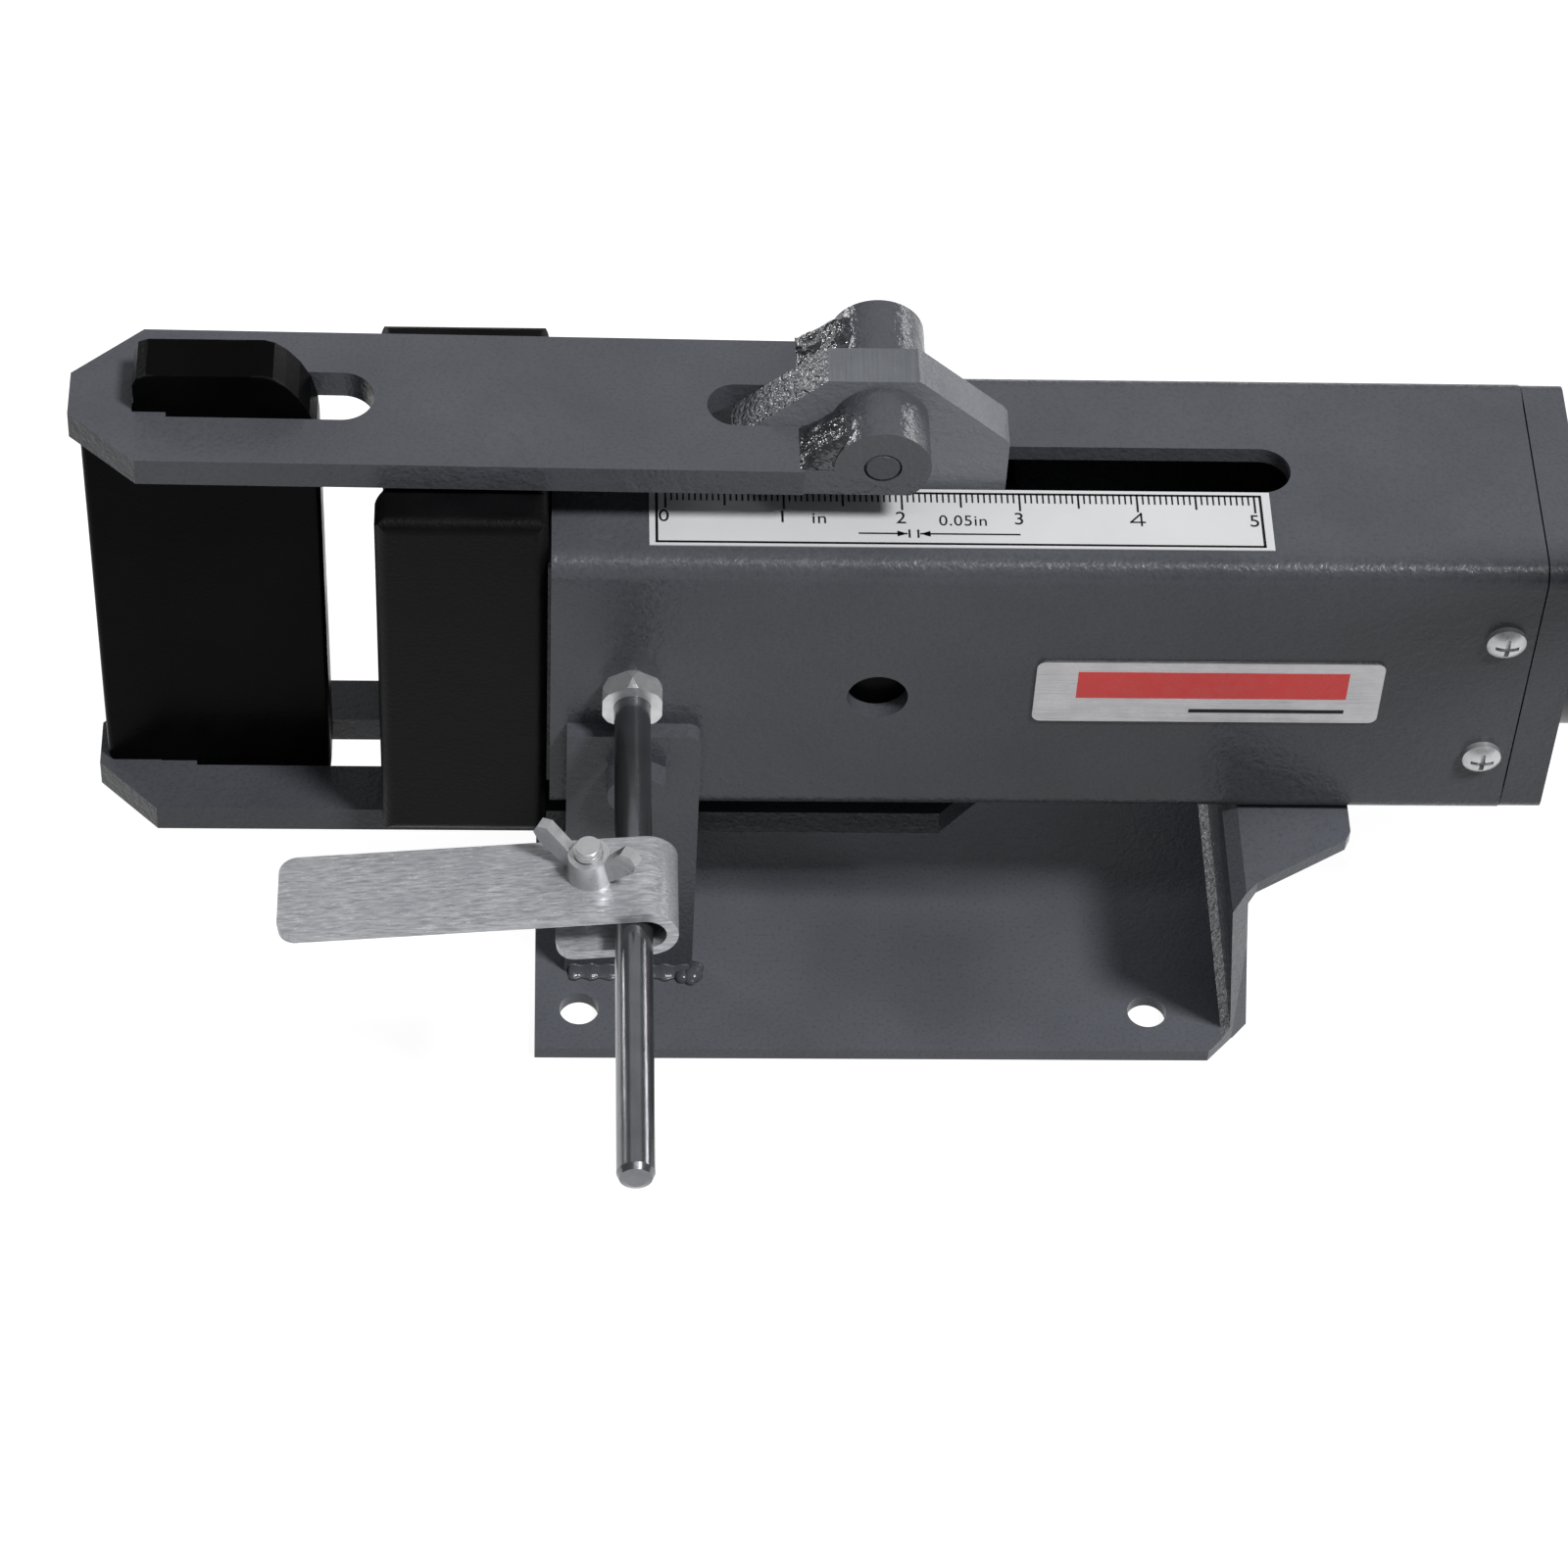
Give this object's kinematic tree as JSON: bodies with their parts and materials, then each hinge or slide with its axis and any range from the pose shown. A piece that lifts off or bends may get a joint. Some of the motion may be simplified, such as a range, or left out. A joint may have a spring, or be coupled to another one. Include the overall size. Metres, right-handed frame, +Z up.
{
  "type": "sheet metal brake",
  "caption": "Horizontal screw-driven strip bender: square-tube body on a bent bolted base, V die, strap-pulled punch blade, ratchet lever and folded-strip stop on a rod.",
  "frame": {"origin": "centre of the four base bolt holes, on the underside of the base plate", "axes": "+X from the die to the drive end along the tube and the screw, +Z up, away from the bench, -Y towards the operator"},
  "size_m": [0.3681, 0.257, 0.4333],
  "materials": {
    "grey_paint": "textured slate-grey powder paint",
    "label_white": "satin printed film",
    "badge_metal": "brushed",
    "blackened_steel": "oiled black oxide",
    "black_paint": "satin black",
    "zinc_steel": "bright zinc plate",
    "machined_steel": "turned and ground",
    "bearing_steel": "polished",
    "spring_steel": "drawn wire",
    "bronze": "turned bronze",
    "arm_aluminium": "worn mill finish",
    "lever_chrome": "plated",
    "grip_rubber": "moulded",
    "knob_plastic": "moulded"
  },
  "bodies": {
    "frame": {"base_bracket": "grey_paint", "front_bracket": "grey_paint", "rear_bracket": "grey_paint", "bracket_welds": "grey_paint", "bracket_bolts": "grey_paint", "flange_bolts": "zinc_steel", "tube_body": "grey_paint", "scale_label": "label_white", "badge": "badge_metal", "end_cap": "grey_paint", "cap_screws": "zinc_steel", "screw_bush": "bronze", "bearing_housing": "black_paint", "housing_screws": "black_paint", "race_fixed": "bearing_steel", "bearing_balls": "bearing_steel", "ball_cage": "bronze", "die_plug": "grey_paint", "die_block": "blackened_steel", "die_bolts": "blackened_steel", "rod_boss_nut": "zinc_steel", "rod_jam_nut": "zinc_steel"},
    "screw": {"lead_screw": "machined_steel", "race_turning": "bearing_steel", "ratchet_wheel": "machined_steel", "drive_key": "machined_steel", "wheel_nut": "zinc_steel"},
    "ram": {"ram_nut": "machined_steel", "ram_lug": "grey_paint", "lower_lug": "grey_paint", "ram_welds": "grey_paint", "bottom_strap": "grey_paint", "hinge_pin": "machined_steel", "punch_blade": "blackened_steel"},
    "top_link": {"top_strap": "grey_paint", "strap_knuckles": "grey_paint", "knuckle_welds": "grey_paint"},
    "rod": {"stop_rod": "machined_steel"},
    "arm": {"stop_arm": "arm_aluminium", "clamp_bolt": "zinc_steel"},
    "wing": {"wing_nut": "zinc_steel"},
    "lever": {"ratchet_head": "black_paint", "ratchet_cover": "black_paint", "cover_screws": "zinc_steel", "lever_bar": "lever_chrome", "lever_pin": "machined_steel", "lever_grip": "grip_rubber", "pawl_cap": "knob_plastic"},
    "plunger": {"pawl": "machined_steel", "pawl_knob": "knob_plastic", "pawl_spring": "spring_steel"}
  },
  "joints": [
    {"name": "screw_turn", "type": "hinge", "parent": "frame", "child": "screw", "pos_m": [0, 0, 0.097], "axis": [1, 0, 0], "range_deg": [-1812, 2352]},
    {"name": "ram_slide", "type": "slide", "parent": "frame", "child": "ram", "axis": [1, 0, 0], "range_m": [-0.02, 0.026]},
    {"name": "strap_lift", "type": "hinge", "parent": "ram", "child": "top_link", "pos_m": [-0.00295, 0, 0.1564], "axis": [0, 1, 0], "range_deg": [0, 180]},
    {"name": "rod_turn", "type": "hinge", "parent": "frame", "child": "rod", "pos_m": [-0.05485, -0.09, 0.097], "axis": [0, 1, 0], "range_deg": [-85, 94]},
    {"name": "arm_slide", "type": "slide", "parent": "rod", "child": "arm", "axis": [0, 1, 0], "range_m": [-0.058, 0.034]},
    {"name": "wing_nut_turn", "type": "hinge", "parent": "arm", "child": "wing", "pos_m": [-0.0631, -0.0857, 0.09612], "axis": [-0.1063, 0, 0.9943], "range_deg": [-360, 360]},
    {"name": "lever_swing", "type": "hinge", "parent": "frame", "child": "lever", "pos_m": [0.17, 0, 0.097], "axis": [1, 0, 0], "range_deg": [-120, 60]},
    {"name": "pawl_slide", "type": "slide", "parent": "lever", "child": "plunger", "axis": [0, 0.5, -0.866], "range_m": [-0.003, 0.001]}
  ],
  "couplings": [
    {"joint": "screw_turn", "follows": "ram_slide", "rad_per_m": 1570.8}
  ]
}
